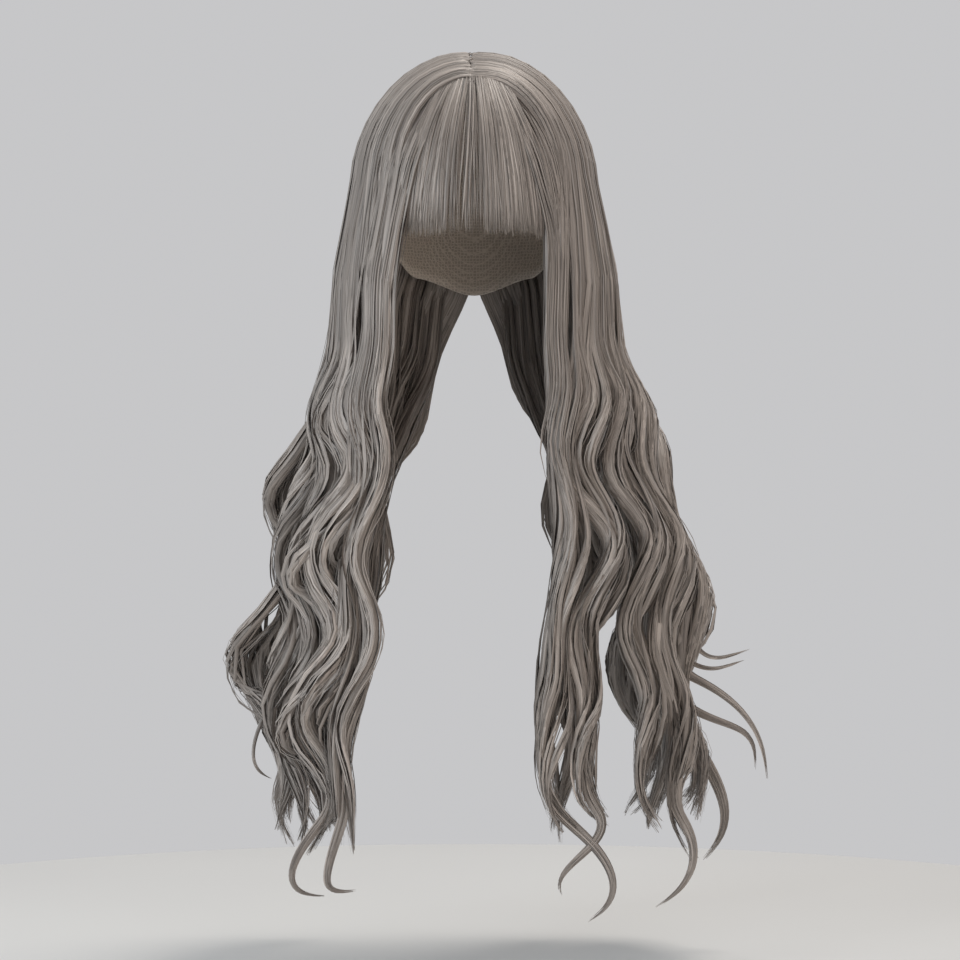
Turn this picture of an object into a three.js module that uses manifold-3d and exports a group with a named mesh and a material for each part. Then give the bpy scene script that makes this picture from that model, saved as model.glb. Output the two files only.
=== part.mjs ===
// A long wavy wig with bangs: an open cap that takes the head, and seven sections of hair sewn to it.
// Each section is a few locks fused together. A lock starts at the centre parting, lies on the cap as
// far as the ear and then hangs in waves to its tip.
//
// Millimetres. +Z is up, the face looks along -Y and +X is the viewer's right.
// The origin is the crown of the head, on the inside of the cap.

import * as THREE from "three";
import { mergeVertices } from "three/addons/utils/BufferGeometryUtils.js";
import Module from "manifold-3d";

const wasm = await Module();
wasm.setup();

// The head that the cap is made for: two half ellipsoids that meet at the widest level
const HEAD_HALF_WIDTH = 75;
const HEAD_HALF_DEPTH = 95;
const CROWN_HEIGHT = 95; // from the widest level up to the crown
const NAPE_HEIGHT = 120; // from the widest level down to where the lower half would close

// The cap
const CAP_WALL = 1.6;
const CAP_COLUMNS = 26;
const CAP_ROWS = 6;
const CAP_RIM_COLUMNS = ["azimuth", "drop"]; // degrees from the face, and millimetres below the crown
const CAP_RIM = [
  [0, 36], // hairline
  [28, 42],
  [55, 80], // temple
  [82, 126], // tab before the ear
  [104, 112], // behind the ear
  [140, 152],
  [180, 164], // nape
];

// The hair on the cap
const HAIR_CLEARANCE = 1.2; // between cap and hair
const SECTION_GAP = 0.5; // between one section and the next
const PARTING_X = -2.5;
const PARTING_HALF_GAP = 1.4;
const TURN_POLAR = 45; // angle from the crown where hair turns from sideways to downward, in degrees
const ROOT_HALF_WIDTH = 12;
const ROOT_HALF_THICKNESS = 3.6;
const EAR_HALF_THICKNESS = 8;
const HANG_HALF_THICKNESS = 9.5;
const TIP_SHARE = 0.07; // of a lock's size, left at its tip
const TAPER_FROM = 0.82; // share of a lock's path where it begins to thin
const TAPER_POWER = 1.6;
const LOCK_PROFILE = [[-1, -0.2], [-0.55, 0.9], [0.55, 0.9], [1, -0.2], [0, -1]]; // shares of the half sizes
const LOCK_ROWS = { cap: 6, neck: 2, waves: 17 };

// The levels that hanging hair is laid out by, in millimetres below the crown
const LEVEL = { ear: 95, jaw: 215, shoulder: 290, chest: 380, waist: 470 };
const CHEEK = { drop: 155, share: 0.75 }; // and how much of the way from ear to jaw hair has moved out there
const LOW_SHARE = 0.6; // where the low point lies between waist and tip
const CAP_KNOTS = 5; // spans of a lock's path on the cap
const HANG_KNOTS = 7; // spans from the ear to the tip
const HANG_HALF_WIDTH = 110; // the oval that the hanging hair faces away from
const HANG_HALF_DEPTH = 80;

// The waves
const WAVE_LENGTH = 117;
const WAVE_FROM = 190; // drop where the waves begin, and where they are full
const WAVE_FULL = 300;
const WAVE_DEPTH_SHARE = 0.6; // movement towards and away from the head, as a share of the sideways one
const WAVE_TWIST = 24; // degrees that a lock's face turns with its waves
const WAVE_ZERO = { left: 341, right: 373 }; // drop where the waves cross over towards the left

const LOCK_COLUMNS = [
  "part", // degrees along the parting, from the crown to the back
  "ear", // azimuth at ear level, in degrees from the face
  "hang_y", // depth of the hanging hair
  "jaw_x", // distance out from the middle at each level
  "shoulder_x",
  "chest_x",
  "waist_x",
  "low_x",
  "tip_x",
  "tip_drop",
  "half_width",
  "wave", // half the sideways movement
  "phase", // degrees that the wave runs ahead
];
const LOCKS = {
  front_lengths_left: [
    [-37, 39, -96, 70, 75, 82, 90, 98, 96, 574, 16, 8, 0],
    [-29, 53, -84, 78, 86, 97, 106, 109, 111, 572, 17, 11, 10],
    [-18, 67, -60, 94, 107, 118, 125, 126, 124, 574, 18, 11, -10],
    [-6, 82, -28, 99, 117, 134, 138, 140, 134, 572, 18, 10, 15],
  ],
  side_lengths_left: [
    [7, 99, 10, 99, 126, 142, 166, 148, 136, 518, 19, 16, 80],
    [19, 117, 46, 96, 122, 138, 144, 142, 138, 566, 20, 10, 20],
  ],
  back_lengths_left: [
    [30, 135, 76, 88, 112, 124, 132, 134, 130, 582, 20, 10, 0],
    [36, 152, 94, 68, 92, 106, 120, 122, 118, 592, 20, 10, 15],
    [40, 169, 102, 46, 72, 90, 108, 112, 108, 586, 18, 9, -10],
  ],
  front_lengths_right: [
    [-37, 43, -96, 62, 65, 66, 53, 58, 84, 570, 13, 7, 0],
    [-30, 54, -84, 78, 83, 92, 72, 86, 98, 558, 14, 9, -15],
    [-20, 67, -62, 94, 111, 121, 118, 128, 139, 568, 17, 11, 10],
    [-8, 81, -34, 101, 126, 142, 143, 152, 157, 586, 18, 11, -10],
  ],
  side_lengths_right: [
    [6, 97, 4, 102, 129, 158, 154, 162, 166, 570, 19, 11, -68],
    [19, 116, 42, 99, 126, 154, 154, 163, 160, 578, 20, 10, -50],
  ],
  back_lengths_right: [
    [30, 135, 76, 86, 110, 130, 142, 146, 142, 588, 20, 10, 10],
    [36, 152, 94, 64, 90, 110, 126, 130, 126, 580, 20, 10, -10],
    [40, 169, 102, 42, 70, 76, 70, 70, 68, 592, 16, 8, 5],
  ],
};

// Loose curls: each leaves a lock of its section at a drop, along a Bezier curve in a plane of constant depth
const CURL_COLUMNS = [
  "lock",
  "start_drop",
  "first_pull_x",
  "first_pull_drop",
  "second_pull_x",
  "second_pull_drop",
  "tip_x",
  "tip_drop",
  "half_width",
];
const CURLS = {
  front_lengths_left: [
    [0, 540, -106, 585, -114, 602, -83, 597, 6],
    [1, 540, -136, 577, -140, 602, -106, 602, 6],
  ],
  side_lengths_left: [[0, 480, -170, 507, -166, 523, -151, 529, 2.5]],
  front_lengths_right: [
    [0, 548, 104, 577, 110, 603, 81, 620, 6],
    [1, 532, 120, 563, 46, 577, 63, 602, 6],
    [3, 545, 172, 575, 158, 603, 132, 618, 6],
  ],
  side_lengths_right: [
    [0, 420, 169, 446, 185, 436, 204, 431, 3],
    [0, 434, 173, 452, 185, 442, 200, 439, 3],
    [0, 446, 190, 462, 215, 484, 217, 528, 5],
    [0, 466, 180, 496, 214, 478, 209, 522, 5],
    [1, 500, 182, 530, 206, 562, 172, 594, 9],
  ],
};
const CURL_ROWS = 8;
const CURL_FLATNESS = 0.7;
const CURL_TIP_SHARE = 0.15;

// The bangs: locks that fan out from a band at the front end of the parting and are cut level over the eyes
const BANG_COLUMNS = ["root", "cut", "half_width"]; // azimuth in degrees at the root and at the cut
const BANGS = [
  [-20, -33, 7],
  [-15, -24, 7],
  [-10, -16, 7],
  [5, 9, 6],
  [10, 17, 7],
  [15, 25, 7],
  [20, 33, 7],
];
const BANG_ROOT_POLAR = 39;
const BANG_DROP = 130;
const BANG_HALF_THICKNESS = { root: 2.6, brow: 4.2, cut: 2.2 };
const BANG_LIFT_AT_CUT = 9; // how far the cut stands off the brow
const BANG_ROOT_SHARE = 0.6; // of a lock's width, at its root
const BANG_ROWS = 6;
const WEFT = { polar: 41, reach: 24, half_width: 5, half_thickness: 2, rows: 6 }; // the band

const HAIR = new THREE.MeshStandardMaterial({ color: 0x847d77, roughness: 0.45, metalness: 0 });
const NET = new THREE.MeshStandardMaterial({ color: 0x4a4540, roughness: 0.85, metalness: 0 });

const { degToRad, radToDeg, lerp, smoothstep } = THREE.MathUtils;

// A table's row as an object with the table's column names
function named(columns, row) {
  return Object.fromEntries(columns.map((column, i) => [column, row[i]]));
}

// The direction at an azimuth from the face, positive to the viewer's right, and an angle from the crown
function direction(azimuth, polar) {
  const a = degToRad(azimuth);
  const p = degToRad(polar);
  return new THREE.Vector3(Math.sin(p) * Math.sin(a), -Math.sin(p) * Math.cos(a), Math.cos(p));
}

// The point of the head in a direction from the middle of its widest level, lifted along the normal
function onHead(towards, lift) {
  const height = towards.z < 0 ? NAPE_HEIGHT : CROWN_HEIGHT;
  const axes = new THREE.Vector3(HEAD_HALF_WIDTH, HEAD_HALF_DEPTH, height);
  const normal = towards.clone().divide(axes).normalize();
  const point = towards.clone().multiply(axes).addScaledVector(normal, lift);
  point.z -= CROWN_HEIGHT;
  return point;
}

// The angle from the crown at which the head has dropped this far
function polarAtDrop(drop) {
  const below = drop - CROWN_HEIGHT;
  return radToDeg(Math.acos(-below / (below > 0 ? NAPE_HEIGHT : CROWN_HEIGHT)));
}

// The cap's lower edge at an azimuth, eased from row to row of its table
function rimDrop(azimuth) {
  const rows = CAP_RIM.map((row) => named(CAP_RIM_COLUMNS, row));
  const turn = Math.abs(azimuth);
  const next = Math.max(1, rows.findIndex((row) => row.azimuth >= turn));
  const from = rows[next - 1];
  const to = rows[next];
  return lerp(from.drop, to.drop, smoothstep(turn, from.azimuth, to.azimuth));
}

// The cap: rings of the head's surface, down the inside from the crown to the rim and up the outside
function capGeometry() {
  const ring = (share, lift) =>
    Array.from({ length: CAP_COLUMNS }, (_, k) => {
      const azimuth = -180 + (360 * k) / CAP_COLUMNS;
      return onHead(direction(azimuth, share * polarAtDrop(rimDrop(azimuth))), lift);
    });
  const shares = Array.from({ length: CAP_ROWS }, (_, row) => (row + 1) / CAP_ROWS);
  const inside = shares.map((share) => ring(share, 0));
  const outside = shares.map((share) => ring(share, CAP_WALL)).reverse();
  const rings = [...inside, ...outside];
  const top = new THREE.Vector3(0, 0, 1);
  const corners = [...rings.flat(), onHead(top, 0), onHead(top, CAP_WALL)];
  const [innerTop, outerTop] = [corners.length - 2, corners.length - 1];
  const last = (rings.length - 1) * CAP_COLUMNS;
  const index = [];
  for (let k = 0; k < CAP_COLUMNS; k++) {
    const next = (k + 1) % CAP_COLUMNS;
    for (let row = 0; row + 1 < rings.length; row++) {
      const a = row * CAP_COLUMNS + k;
      const b = row * CAP_COLUMNS + next;
      index.push(a, b, a + CAP_COLUMNS, b, b + CAP_COLUMNS, a + CAP_COLUMNS);
    }
    index.push(innerTop, next, k, outerTop, last + k, last + next);
  }
  return new THREE.BufferGeometry().setFromPoints(corners).setIndex(index);
}

// A closed surface from loops of points, each loop joined to the next and the two ends closed by fans
function closedLoft(loops) {
  const sides = loops[0].length;
  const index = [];
  for (let row = 0; row + 1 < loops.length; row++) {
    for (let k = 0; k < sides; k++) {
      const a = row * sides + k;
      const b = row * sides + ((k + 1) % sides);
      index.push(a, a + sides, b, b, a + sides, b + sides);
    }
  }
  const last = (loops.length - 1) * sides;
  for (let k = 1; k + 1 < sides; k++) {
    index.push(0, k, k + 1, last, last + k + 1, last + k);
  }
  return new THREE.BufferGeometry().setFromPoints(loops.flat()).setIndex(index);
}

// A closed mesh as a solid that can be joined and cut
function solidOf(geometry) {
  const merged = mergeVertices(geometry);
  return new wasm.Manifold(
    new wasm.Mesh({
      numProp: 3,
      vertProperties: merged.getAttribute("position").array,
      triVerts: new Uint32Array(merged.index.array),
    }),
  );
}

function geometryOf(solid) {
  const { vertProperties, triVerts } = solid.getMesh();
  const geometry = new THREE.BufferGeometry();
  geometry.setAttribute("position", new THREE.BufferAttribute(vertProperties, 3));
  geometry.setIndex(new THREE.BufferAttribute(triVerts, 1));
  geometry.computeVertexNormals();
  return geometry;
}

// Which way hair faces at a point: away from the head above, away from a wider oval where it hangs
function outwardAt(point) {
  const hanging = smoothstep(-point.z, LEVEL.ear, LEVEL.shoulder);
  const halfWidth = lerp(HEAD_HALF_WIDTH, HANG_HALF_WIDTH, hanging);
  const halfDepth = lerp(HEAD_HALF_DEPTH, HANG_HALF_DEPTH, hanging);
  return new THREE.Vector3(
    point.x / halfWidth ** 2,
    point.y / halfDepth ** 2,
    Math.max(0, point.z + CROWN_HEIGHT) / CROWN_HEIGHT ** 2,
  ).normalize();
}

// The lock profile carried along a path. Each row of the path has a point, half sizes and a turn about
// the path in degrees; all sizes can be grown.
function sweep(rows, grow) {
  const loops = rows.map((row, i) => {
    const before = rows[Math.max(0, i - 1)].point;
    const after = rows[Math.min(rows.length - 1, i + 1)].point;
    const along = after.clone().sub(before).normalize();
    const across = outwardAt(row.point).cross(along).normalize();
    across.applyAxisAngle(along, degToRad(row.turn));
    const out = along.clone().cross(across);
    return LOCK_PROFILE.map(([a, b]) =>
      row.point
        .clone()
        .addScaledVector(across, a * (row.halfWidth + grow))
        .addScaledVector(out, b * (row.halfThickness + grow)),
    );
  });
  return solidOf(closedLoft(loops));
}

// The path of a lock before its waves: a curve over the cap from the parting to the ear, then through
// the levels to the tip
function lockCurve(lock, side) {
  const root = direction(180, lock.part);
  const turn = direction(side * lock.ear, TURN_POLAR);
  const ear = direction(side * lock.ear, 90);
  const onCap = Array.from({ length: CAP_KNOTS + 1 }, (_, i) => {
    const s = i / CAP_KNOTS;
    const towards = root.clone().multiplyScalar((1 - s) ** 2);
    towards.addScaledVector(turn, 2 * s * (1 - s)).addScaledVector(ear, s ** 2).normalize();
    const halfThickness = lerp(ROOT_HALF_THICKNESS, EAR_HALF_THICKNESS, s);
    return onHead(towards, CAP_WALL + HAIR_CLEARANCE + halfThickness);
  });
  onCap[0].x = PARTING_X + side * PARTING_HALF_GAP;
  const atEar = onCap[CAP_KNOTS];
  const hanging = [
    [lerp(side * atEar.x, lock.jaw_x, CHEEK.share), lerp(atEar.y, lock.hang_y, 0.3), CHEEK.drop],
    [lock.jaw_x, lerp(atEar.y, lock.hang_y, 0.6), LEVEL.jaw],
    [lock.shoulder_x, lock.hang_y, LEVEL.shoulder],
    [lock.chest_x, lock.hang_y, LEVEL.chest],
    [lock.waist_x, lock.hang_y * 0.97, LEVEL.waist],
    [lock.low_x, lock.hang_y * 0.95, lerp(LEVEL.waist, lock.tip_drop, LOW_SHARE)],
    [lock.tip_x, lock.hang_y * 0.93, lock.tip_drop],
  ].map(([x, y, drop]) => new THREE.Vector3(side * x, y, -drop));
  return new THREE.CatmullRomCurve3([...onCap, ...hanging], false, "catmullrom", 0.5);
}

// The shares of a lock's path where its rows go: few on the cap and by the neck, more in the waves
function rowShares() {
  const jaw = CAP_KNOTS + 2;
  const end = CAP_KNOTS + HANG_KNOTS;
  const spread = (from, to, count) =>
    Array.from({ length: count }, (_, i) => (from + ((to - from) * i) / count) / end);
  return [
    ...spread(0, CAP_KNOTS, LOCK_ROWS.cap),
    ...spread(CAP_KNOTS, jaw, LOCK_ROWS.neck),
    ...spread(jaw, end, LOCK_ROWS.waves),
    1,
  ];
}

// The rows of a lock: its path with the waves added, sideways and in depth, and its size along the way
function lockRows(lock, side) {
  const curve = lockCurve(lock, side);
  const zero = side < 0 ? WAVE_ZERO.left : WAVE_ZERO.right;
  return rowShares().map((share) => {
    const point = curve.getPoint(share);
    const drop = -point.z;
    const out = outwardAt(point);
    const across = out.clone().cross(curve.getTangent(share)).normalize();
    const angle = (2 * Math.PI * (drop - zero)) / WAVE_LENGTH + degToRad(lock.phase);
    const fullness = smoothstep(drop, WAVE_FROM, WAVE_FULL);
    point.addScaledVector(across, -fullness * lock.wave * Math.sin(angle));
    point.addScaledVector(out, fullness * lock.wave * WAVE_DEPTH_SHARE * Math.cos(angle));

    const onCap = Math.min(1, (share * (CAP_KNOTS + HANG_KNOTS)) / CAP_KNOTS);
    const hanging = smoothstep(drop, LEVEL.ear, LEVEL.shoulder);
    const thinning = Math.max(0, (share - TAPER_FROM) / (1 - TAPER_FROM)) ** TAPER_POWER;
    const taper = lerp(1, TIP_SHARE, thinning);
    const thickness = lerp(ROOT_HALF_THICKNESS, EAR_HALF_THICKNESS, onCap);
    return {
      point,
      halfWidth: lerp(ROOT_HALF_WIDTH, lock.half_width, smoothstep(onCap, 0, 0.8)) * taper,
      halfThickness: lerp(thickness, HANG_HALF_THICKNESS, hanging) * taper,
      turn: fullness * WAVE_TWIST * Math.cos(angle),
    };
  });
}

// The rows of a loose curl, from the middle of the lock that it leaves
function curlRows(curl, parent) {
  const start = parent.find((row) => -row.point.z >= curl.start_drop).point;
  const at = (x, drop) => new THREE.Vector3(x, start.y, -drop);
  const curve = new THREE.CubicBezierCurve3(
    start,
    at(curl.first_pull_x, curl.first_pull_drop),
    at(curl.second_pull_x, curl.second_pull_drop),
    at(curl.tip_x, curl.tip_drop),
  );
  return Array.from({ length: CURL_ROWS + 1 }, (_, i) => {
    const share = i / CURL_ROWS;
    const halfWidth = curl.half_width * lerp(1, CURL_TIP_SHARE, share);
    return { point: curve.getPoint(share), halfWidth, halfThickness: halfWidth * CURL_FLATNESS, turn: 0 };
  });
}

// The rows of one lock of the bangs, which stands further off the head towards its cut
function bangRows(bang) {
  const cutPolar = polarAtDrop(BANG_DROP);
  const { root, brow, cut } = BANG_HALF_THICKNESS;
  return Array.from({ length: BANG_ROWS + 1 }, (_, i) => {
    const share = i / BANG_ROWS;
    const towards = direction(lerp(bang.root, bang.cut, share), lerp(BANG_ROOT_POLAR, cutPolar, share));
    const halfThickness = share < 0.5 ? lerp(root, brow, share * 2) : lerp(brow, cut, share * 2 - 1);
    const lift = CAP_WALL + HAIR_CLEARANCE + halfThickness + BANG_LIFT_AT_CUT * share ** 2;
    return {
      point: onHead(towards, lift),
      halfWidth: bang.half_width * lerp(BANG_ROOT_SHARE, 1, smoothstep(share, 0, 0.6)),
      halfThickness,
      turn: 0,
    };
  });
}

// The rows of the band that the bangs are sewn to, from left to right
function weftRows() {
  return Array.from({ length: WEFT.rows + 1 }, (_, i) => ({
    point: onHead(
      direction(lerp(-WEFT.reach, WEFT.reach, i / WEFT.rows), WEFT.polar),
      CAP_WALL + HAIR_CLEARANCE + WEFT.half_thickness,
    ),
    halfWidth: WEFT.half_width,
    halfThickness: WEFT.half_thickness,
    turn: 0,
  }));
}

// Every lock and curl of a section, fused into one solid
function sectionSolid(name, grow) {
  const side = name.endsWith("left") ? -1 : 1;
  const locks = LOCKS[name].map((row) => lockRows(named(LOCK_COLUMNS, row), side));
  const curls = (CURLS[name] ?? []).map((row) => {
    const curl = named(CURL_COLUMNS, row);
    return curlRows(curl, locks[curl.lock]);
  });
  return wasm.Manifold.union([...locks, ...curls].map((rows) => sweep(rows, grow)));
}

function bangsSolid() {
  const locks = BANGS.map((row) => bangRows(named(BANG_COLUMNS, row)));
  return wasm.Manifold.union([weftRows(), ...locks].map((rows) => sweep(rows, 0)));
}

// What is left of a solid as one body, once its neighbours have been cut out of it with a gap
function clearOf(solid, neighbours) {
  const cut = neighbours.reduce((left, neighbour) => left.subtract(neighbour), solid);
  return cut.decompose().reduce((most, body) => (body.volume() > most.volume() ? body : most));
}

const wig = new THREE.Group();

function addPiece(name, geometry, material) {
  const mesh = new THREE.Mesh(geometry, material);
  mesh.name = name;
  wig.add(mesh);
}

addPiece("wig_cap", capGeometry(), NET);

const grown = [];
for (const name of Object.keys(LOCKS)) {
  addPiece(name, geometryOf(clearOf(sectionSolid(name, 0), grown)), HAIR);
  grown.push(sectionSolid(name, SECTION_GAP));
}
addPiece("bangs", geometryOf(clearOf(bangsSolid(), grown)), HAIR);

export default wig;
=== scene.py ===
import bpy
import numpy as np
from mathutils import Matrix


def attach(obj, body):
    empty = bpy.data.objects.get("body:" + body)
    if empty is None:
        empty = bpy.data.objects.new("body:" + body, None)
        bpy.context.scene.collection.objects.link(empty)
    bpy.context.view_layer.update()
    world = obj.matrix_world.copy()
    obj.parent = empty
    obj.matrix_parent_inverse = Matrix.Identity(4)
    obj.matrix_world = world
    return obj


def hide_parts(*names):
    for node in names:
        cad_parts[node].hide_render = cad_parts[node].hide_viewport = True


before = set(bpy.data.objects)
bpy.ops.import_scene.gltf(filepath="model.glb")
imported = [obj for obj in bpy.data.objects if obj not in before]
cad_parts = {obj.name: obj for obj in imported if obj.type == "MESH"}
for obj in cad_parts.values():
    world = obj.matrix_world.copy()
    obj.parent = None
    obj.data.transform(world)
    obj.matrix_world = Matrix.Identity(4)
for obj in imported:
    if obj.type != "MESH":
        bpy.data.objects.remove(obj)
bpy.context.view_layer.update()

# The wig's hair is worked out here from the same sizes and tables as its solids, in millimetres. A solid
# lock becomes cores with many tresses and fibres around them, and each section of hair replaces the node
# of its name.

MM = 0.001
chance = np.random.default_rng(11)

# The form that the cap is made over: two half ellipsoids that meet at its widest level
FORM_HALF_WIDTH = 75
FORM_HALF_DEPTH = 95
CROWN_HEIGHT = 95
NAPE_HEIGHT = 120

# The cap
CAP_WALL = 1.6
CAP_COLUMNS = 96
CAP_ROWS = 28
CAP_POLE = 0.004  # share of the way to the rim where the rings start
# Azimuth in degrees, and the drop of the cap's lower edge there
CAP_RIM = {0: 36, 28: 42, 55: 80, 82: 126, 104: 112, 140: 152, 180: 164}

# The hair on the cap and where it hangs
HAIR_CLEARANCE = 1.2
PARTING_X = -2.5
PARTING_HALF_GAP = 1.4
TURN_POLAR = 45  # of a lock's turning point, in degrees from the crown
ROOT_HALF_WIDTH = 15  # 3 mm more than the solids have, so that neighbours overlap at the parting
ROOT_HALF_THICKNESS = 3.6
EAR_HALF_THICKNESS = 8
HANG_HALF_THICKNESS = 9.5
TIP_SHARE = 0.07
TAPER_FROM = 0.82
TAPER_POWER = 1.6
# Drops of the levels that lengths of hair are named by
EAR, JAW, SHOULDER, CHEST, WAIST = 95, 215, 290, 380, 470
CHEEK_DROP = 155
CHEEK_SHARE = 0.75
LOW_SHARE = 0.6
CAP_KNOTS = 5
HANG_KNOTS = 7
KNOTS = CAP_KNOTS + HANG_KNOTS
HANG_HALF_WIDTH = 110
HANG_HALF_DEPTH = 80

# The waves
WAVE_LENGTH = 117
WAVE_FROM = 190
WAVE_FULL = 300
WAVE_DEPTH_SHARE = 0.6
WAVE_TWIST = 24
WAVE_ZERO = {-1: 341, 1: 373}  # by side, a drop where waves cross their path
WAVE_ROLL = 16  # degrees that strands roll around their lock's own oval, to and fro with the waves
ROLL_FROM = 160  # drops where the roll and the twist begin, and where the roll is full
ROLL_FULL = 260
ROPE_TURNS = 0.25  # turns of a clump in one wave
ROPE_SPREAD = 0.12  # of a turn, by which clumps differ
ROPE_EASE = 60  # of drop, over which the twist sets in
SMOOTH_WAVE = 12  # a lock with a wider wave stands out and is laid smooth, without roll or twist

# The locks: where each begins along the parting and passes the widest level, in degrees, its depth, its
# places to the side at each level, where it ends, its half width, and the height and phase of its wave
LOCK_COLUMNS = (
    "part", "ear", "hang_y", "jaw_x", "shoulder_x", "chest_x", "waist_x", "low_x", "tip_x", "tip_drop",
    "half_width", "wave", "phase",
)
LOCKS = {
    "front_lengths_left": [
        [-37, 39, -96, 70, 75, 82, 90, 98, 96, 574, 16, 8, 0],
        [-29, 53, -84, 78, 86, 97, 106, 109, 111, 572, 17, 11, 10],
        [-18, 67, -60, 94, 107, 118, 125, 126, 124, 574, 18, 11, -10],
        [-6, 82, -28, 99, 117, 134, 138, 140, 134, 572, 18, 10, 15],
    ],
    "side_lengths_left": [
        [7, 99, 10, 99, 126, 142, 166, 148, 136, 518, 19, 16, 80],
        [19, 117, 46, 96, 122, 138, 144, 142, 138, 566, 20, 10, 20],
    ],
    "back_lengths_left": [
        [30, 135, 76, 88, 112, 124, 132, 134, 130, 582, 20, 10, 0],
        [36, 152, 94, 68, 92, 106, 120, 122, 118, 592, 20, 10, 15],
        [40, 169, 102, 46, 72, 90, 108, 112, 108, 586, 18, 9, -10],
    ],
    "front_lengths_right": [
        [-37, 43, -96, 62, 65, 66, 53, 58, 84, 570, 13, 7, 0],
        [-30, 54, -84, 78, 83, 92, 72, 86, 98, 558, 14, 9, -15],
        [-20, 67, -62, 94, 111, 121, 118, 128, 139, 568, 17, 11, 10],
        [-8, 81, -34, 101, 126, 142, 143, 152, 157, 586, 18, 11, -10],
    ],
    "side_lengths_right": [
        [6, 97, 4, 102, 129, 158, 154, 162, 166, 570, 19, 11, -68],
        [19, 116, 42, 99, 126, 154, 154, 163, 160, 578, 20, 10, -50],
    ],
    "back_lengths_right": [
        [30, 135, 76, 86, 110, 130, 142, 146, 142, 588, 20, 10, 10],
        [36, 152, 94, 64, 90, 110, 126, 130, 126, 580, 20, 10, -10],
        [40, 169, 102, 42, 70, 76, 70, 70, 68, 592, 16, 8, 5],
    ],
}

# The loose curls: each leaves a lock of its section at a drop, along a curve with two pulls
CURL_COLUMNS = (
    "lock", "start_drop", "first_pull_x", "first_pull_drop", "second_pull_x", "second_pull_drop",
    "tip_x", "tip_drop", "half_width",
)
CURLS = {
    "front_lengths_left": [
        [0, 540, -106, 585, -114, 602, -83, 597, 6],
        [1, 540, -136, 577, -140, 602, -106, 602, 6],
    ],
    "side_lengths_left": [[0, 480, -170, 507, -166, 523, -151, 529, 2.5]],
    "front_lengths_right": [
        [0, 548, 104, 577, 110, 603, 81, 620, 6],
        [1, 532, 120, 563, 46, 577, 63, 602, 6],
        [3, 545, 172, 575, 158, 603, 132, 618, 6],
    ],
    "side_lengths_right": [
        [0, 420, 169, 446, 185, 436, 204, 431, 3],
        [0, 434, 173, 452, 185, 442, 200, 439, 3],
        [0, 446, 190, 462, 215, 484, 217, 528, 5],
        [0, 466, 180, 496, 214, 478, 209, 522, 5],
        [1, 500, 182, 530, 206, 562, 172, 594, 9],
    ],
}
CURL_FLATNESS = 0.7
CURL_TIP_SHARE = 0.18
CURL_ROOT_SHARE = 0.2  # of its width and of its strands' widths, where a curl begins inside its lock
CURL_ROOT_DEPTH = 7  # behind the lock's middle
CURL_DEPTH = 12  # that it bends to and fro
CURL_LEAD = 90  # length inside the lock
CURL_LEAD_ROWS = 9
CURL_OPEN = 0.3  # share of its way where a curl has its full width and begins to bend

# The bangs
BANG_ROOT_AZIMUTH = 21  # of the outermost fibre, in degrees from the middle, at the root and at the cut
BANG_CUT_AZIMUTH = 37
BANG_SLIT = (-12, 5)  # azimuths at the cut between which the bangs are thin
BANG_ROOT_POLAR = 38
BANG_DROP = 127  # 3 mm less than the solid has, because strands end above and below it
BANG_HALF_THICKNESS = (2.6, 4.2, 2.2)  # at the root, halfway and at the cut
BANG_LIFT_AT_CUT = 9
BANG_CORNER = (29, 36)  # azimuths at the cut between which the bangs grow longer
BANG_CORNER_DROP = 5

# The place that the wig is seen from, level and in front
EYE_X = 4.4
EYE_DISTANCE = 2200
EYE_DROP = 306

# Gaps between locks at the front, where they are seen on the upright plane through the wig's middle. Each
# leans by a share of the drop, and reaches back to its deepest Y
GAP_COLUMNS = ("x", "lean", "drop", "half_width", "half_height", "deepest")
GAP_ROWS = [
    [-85, 0.0, 182, 3.2, 34, 20],
    [-112, 0.0, 340, 3.5, 26, 20],
    [-155, -0.85, 413, 6.0, 20, 200],
    [71, 0.05, 195, 2.6, 70, -40],
    [95, 0.25, 248, 3.0, 68, -20],
    [79, 0.0, 352, 2.5, 20, 20],
    [125, 0.3, 320, 2.5, 40, -10],
    [-74, -0.1, 104, 1.8, 34, 20],
    [-61, -0.25, 155, 1.6, 28, -40],
    [63, 0.2, 495, 6.0, 48, 200],
    [101, 0.16, 482, 6.5, 58, 200],
    [151, 0.75, 508, 4.5, 22, 200],
    [164, 0.1, 387, 2.2, 13, 200],
]
GAPS = [dict(zip(GAP_COLUMNS, row)) for row in GAP_ROWS]
GAP_FALLOFF = 3  # half widths to the side, where a push ends
GAP_END_POWER = 0.85
GAP_CORE_MARGIN = 8  # to the side of a gap, where cores are slimmer too
GAP_CORE_REACH = 1.3  # of the gap's half height
GAP_CORE_LOSS = 0.95

# Short layers that leave the cap and join a lock, by the sections that they go with: from the band of the
# bangs to the foremost lock of each side, and over the nape to the hindmost. Azimuths are in degrees from
# the front, drops in millimetres
LAYER_COLUMNS = (
    "lock", "root_drop", "root_azimuth", "join_azimuth", "join_drop", "end_drop", "lift", "half_width",
    "tresses", "fibres",
)
LAYERS = {
    "front": [0, 13, (44, 12), (53, 38), (85, 170), (170, 330), (4, 18), 0.72, 75, 40],
    "back": [2, 32, (150, 179), (160, 180), (140, 215), (280, 420), (8, 9), 1.5, 60, 10],
}

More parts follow.
